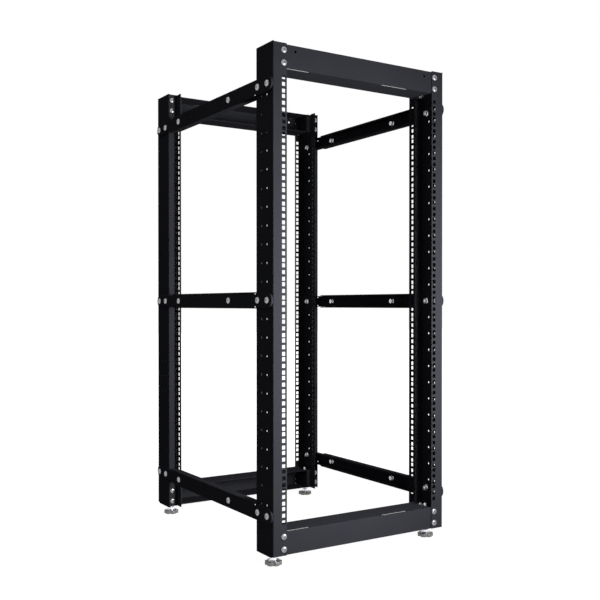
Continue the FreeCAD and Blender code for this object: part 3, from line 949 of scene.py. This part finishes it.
        def section(angle: float) -> Section:
            """Half the stud's outline at one angle.

            Args:
                angle: Angle about the axis, in radians.

            Returns:
                Radius and height pairs, from the bottom outwards and up.
            """
            rows: Section = [(0.0, 0.0)]
            for step in range(steps + 1):
                z = height * step / steps
                turn = (z / self.thread_pitch - angle / (2 * math.pi)) % 1.0
                root = self.thread_depth * abs(2 * turn - 1)
                from_end = min(z, height - z)
                chamfer = max(0.0, self.stud_chamfer - from_end)
                rows.append((radius - max(root, chamfer), z))
            rows.append((0.0, height))
            return rows

        return turned(f"{self.corner}_stud", section, self.stud_segments, False)


# ------------------------------------------------------------------ studio

@dataclass(frozen=True)
class Viewpoint:
    """The camera, with its lens and sensor in millimetres.

    Attributes:
        place: Where it stands.
        heading: Degrees that it looks to the right of +Y.
        dip: Degrees that it looks below the horizon.
        lens: Focal length.
        sensor: Width of the sensor.
        shift: Shift of the frame, as shares of its width.
    """

    place: Vector = Vector((-1.27596, -2.09474, 0.62589))
    heading: float = 32.746
    dip: float = 0.4826
    lens: float = 51.586
    sensor: float = 36.0
    shift: tuple[float, float] = (-0.0210, 0.0196)

    def build(self) -> None:
        """Set the scene's camera."""
        data = bpy.data.cameras.new("camera")
        data.lens = self.lens
        data.sensor_width = self.sensor
        data.shift_x, data.shift_y = self.shift
        camera = bpy.data.objects.new("camera", data)
        camera.location = self.place
        camera.rotation_euler = (math.radians(90 - self.dip), 0.0, -math.radians(self.heading))
        bpy.context.scene.collection.objects.link(camera)
        bpy.context.scene.camera = camera


@dataclass(frozen=True)
class Softbox:
    """A rectangular lamp turned towards a point.

    Attributes:
        name: The lamp's name.
        place: Where it hangs.
        target: The point that it faces.
        size: Its width and height.
        power: Its power in watts.
        beam: Its beam's full angle in degrees.
    """

    name: str
    place: Vector
    target: Vector
    size: tuple[float, float]
    power: float
    beam: float = 180.0

    def build(self) -> None:
        """Add the lamp to the scene."""
        data = bpy.data.lights.new(self.name, "AREA")
        data.shape = "RECTANGLE"
        data.size, data.size_y = self.size
        data.energy = self.power
        data.spread = math.radians(self.beam)
        lamp = bpy.data.objects.new(self.name, data)
        lamp.location = self.place
        lamp.rotation_euler = (self.target - self.place).to_track_quat("-Z", "Y").to_euler()
        lamp.visible_camera = False
        bpy.context.scene.collection.objects.link(lamp)


STRIP = Softbox("strip", Vector((0.27, -1.15, 0.60)), Vector((-0.20, -0.35, 0.60)),
                (0.3, 0.7), 9.4, 120.0)
FILL = Softbox("fill", Vector((-3.0, -1.0, 0.9)), Vector((0.0, 0.0, 0.6)), (2.0, 2.0), 5.0)
OVERHEAD = Softbox("overhead", Vector((0.0, 0.0, 3.4)), Vector((0.0, 0.0, 0.0)), (3.0, 3.0), 16.0)


@dataclass(frozen=True)
class Studio:
    """White surroundings, a white floor and soft lamps.

    Attributes:
        ambient: Strength of the surroundings as a light.
        floor_size: Length of the floor's sides.
        floor_paint: Grey of the floor's paint, which takes the shadow.
        floor_bounce: Grey of the floor as it lights the rack.
        floor_glow: Strength of the floor's own white.
        shadow_share: Share of the paint in the floor near the rack.
        shadow_reach: Distances from the middle between which that share fades out.
        lamps: The lamps.
    """

    ambient: float = 0.035
    floor_size: float = 30.0
    floor_paint: float = 0.8
    floor_bounce: float = 0.1
    floor_glow: float = 1.30
    shadow_share: float = 0.25
    shadow_reach: tuple[float, float] = (0.5, 1.6)
    lamps: tuple[Softbox, ...] = (STRIP, FILL, OVERHEAD)

    def build(self) -> None:
        """Set up world, floor, lamps and camera."""
        bpy.context.scene.view_settings.view_transform = "Standard"
        self._world()
        self._floor()
        for lamp in self.lamps:
            lamp.build()
        Viewpoint().build()

    def _world(self) -> None:
        """White to the camera, to mirrors and to glass, and dim to everything else."""
        world = bpy.data.worlds.new("surroundings")
        world.use_nodes = True
        tree = world.node_tree
        tree.nodes.clear()
        ambient = tree.nodes.new("ShaderNodeBackground")
        ambient.inputs["Strength"].default_value = self.ambient
        seen = tree.nodes.new("ShaderNodeBackground")
        for shader in (ambient, seen):
            shader.inputs["Color"].default_value = WHITE
        choice = tree.nodes.new("ShaderNodeMixShader")
        output = tree.nodes.new("ShaderNodeOutputWorld")
        tree.links.new(self._seen_rays(tree), choice.inputs[0])
        tree.links.new(ambient.outputs[0], choice.inputs[1])
        tree.links.new(seen.outputs[0], choice.inputs[2])
        tree.links.new(choice.outputs[0], output.inputs["Surface"])
        bpy.context.scene.world = world

    def _seen_rays(self, tree: bpy.types.NodeTree) -> bpy.types.NodeSocket:
        """Tell rays from the camera, a mirror or glass, as 1, from the rest, as 0.

        Args:
            tree: The node tree to add to.

        Returns:
            The socket with the result.
        """
        path = tree.nodes.new("ShaderNodeLightPath")
        total = path.outputs["Is Camera Ray"]
        for ray in ("Is Glossy Ray", "Is Transmission Ray"):
            either = tree.nodes.new("ShaderNodeMath")
            either.operation = "MAXIMUM"
            tree.links.new(total, either.inputs[0])
            tree.links.new(path.outputs[ray], either.inputs[1])
            total = either.outputs[0]
        return total

    def _floor(self) -> None:
        """A wide white floor that keeps a light shadow near the rack."""
        half = self.floor_size / 2
        mesh = bpy.data.meshes.new("floor")
        corners = [(-half, -half, 0.0), (half, -half, 0.0), (half, half, 0.0), (-half, half, 0.0)]
        mesh.from_pydata(corners, [], [(0, 1, 2, 3)])
        graph = Graph("white_floor")
        paint = graph.node("ShaderNodeBsdfDiffuse", Color=(*[self.floor_paint] * 3, 1.0))
        dull = graph.node("ShaderNodeBsdfDiffuse", Color=(*[self.floor_bounce] * 3, 1.0))
        glow = graph.node("ShaderNodeEmission", Color=WHITE, Strength=self.floor_glow)
        where = graph.node("ShaderNodeTexCoord")
        reach = graph.node("ShaderNodeVectorMath", operation="LENGTH")
        graph.link(where.outputs["Object"], reach.inputs[0])
        near, far = self.shadow_reach
        fade = graph.node("ShaderNodeMapRange", interpolation_type="SMOOTHSTEP",
                          From_Min=near, From_Max=far,
                          To_Min=1.0 - self.shadow_share, To_Max=1.0)
        graph.link(reach.outputs["Value"], fade.inputs["Value"])
        shaded = graph.node("ShaderNodeMixShader")
        graph.link(fade.outputs["Result"], shaded.inputs[0])
        graph.link(paint.outputs[0], shaded.inputs[1])
        graph.link(glow.outputs[0], shaded.inputs[2])
        choice = graph.node("ShaderNodeMixShader")
        graph.link(self._seen_rays(graph.tree), choice.inputs[0])
        graph.link(dull.outputs[0], choice.inputs[1])
        graph.link(shaded.outputs[0], choice.inputs[2])
        graph.link(choice.outputs[0], graph.output.inputs["Surface"])
        new_object("floor", mesh, graph.material)


# ------------------------------------------------------------------ the rack

@dataclass(frozen=True)
class SheetMetal:
    """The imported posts, crossbars, braces and foot plates, given their finish."""

    nodes: dict[str, bpy.types.Object]
    kinds: tuple[str, ...] = ("post", "crossbar", "brace", "foot_plate")

    def dress(self, finish: bpy.types.Material) -> list[bpy.types.Object]:
        """Give every sheet piece its finish.

        Args:
            finish: The powder coat's material.

        Returns:
            The pieces dressed.
        """
        dressed = []
        for name, node in self.nodes.items():
            if any(kind in name for kind in self.kinds):
                node.data.materials.clear()
                node.data.materials.append(finish)
                dressed.append(node)
        return dressed


def report(piece: bpy.types.Object) -> None:
    """Log a finished piece."""
    log.info("%s: %d faces", piece.name, len(piece.data.polygons))


def main() -> None:
    """Build the dressed rack and its studio."""
    logging.basicConfig(level=logging.INFO, format="%(name)s: %(message)s")
    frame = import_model()
    coat = PowderCoat().material()
    screw_finish, nut_finish = SCREW_ZINC.material(), NUT_ZINC_PAINTED_LIGHT.material()
    hub_finish, base_finish = HUB_ZINC.material(), FOOT_GREY.material()

    for piece in SheetMetal(frame["nodes"]).dress(coat):
        report(piece)
    for piece in Fasteners().build(screw_finish, nut_finish):
        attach(piece, ROOT)
        report(piece)
    for end in End:
        for side in Side:
            for piece in LevellingFoot(corner_name(end, side)).build(base_finish, hub_finish):
                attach(piece, ROOT)
                report(piece)
    Studio().build()


if __name__ == "__main__":
    main()
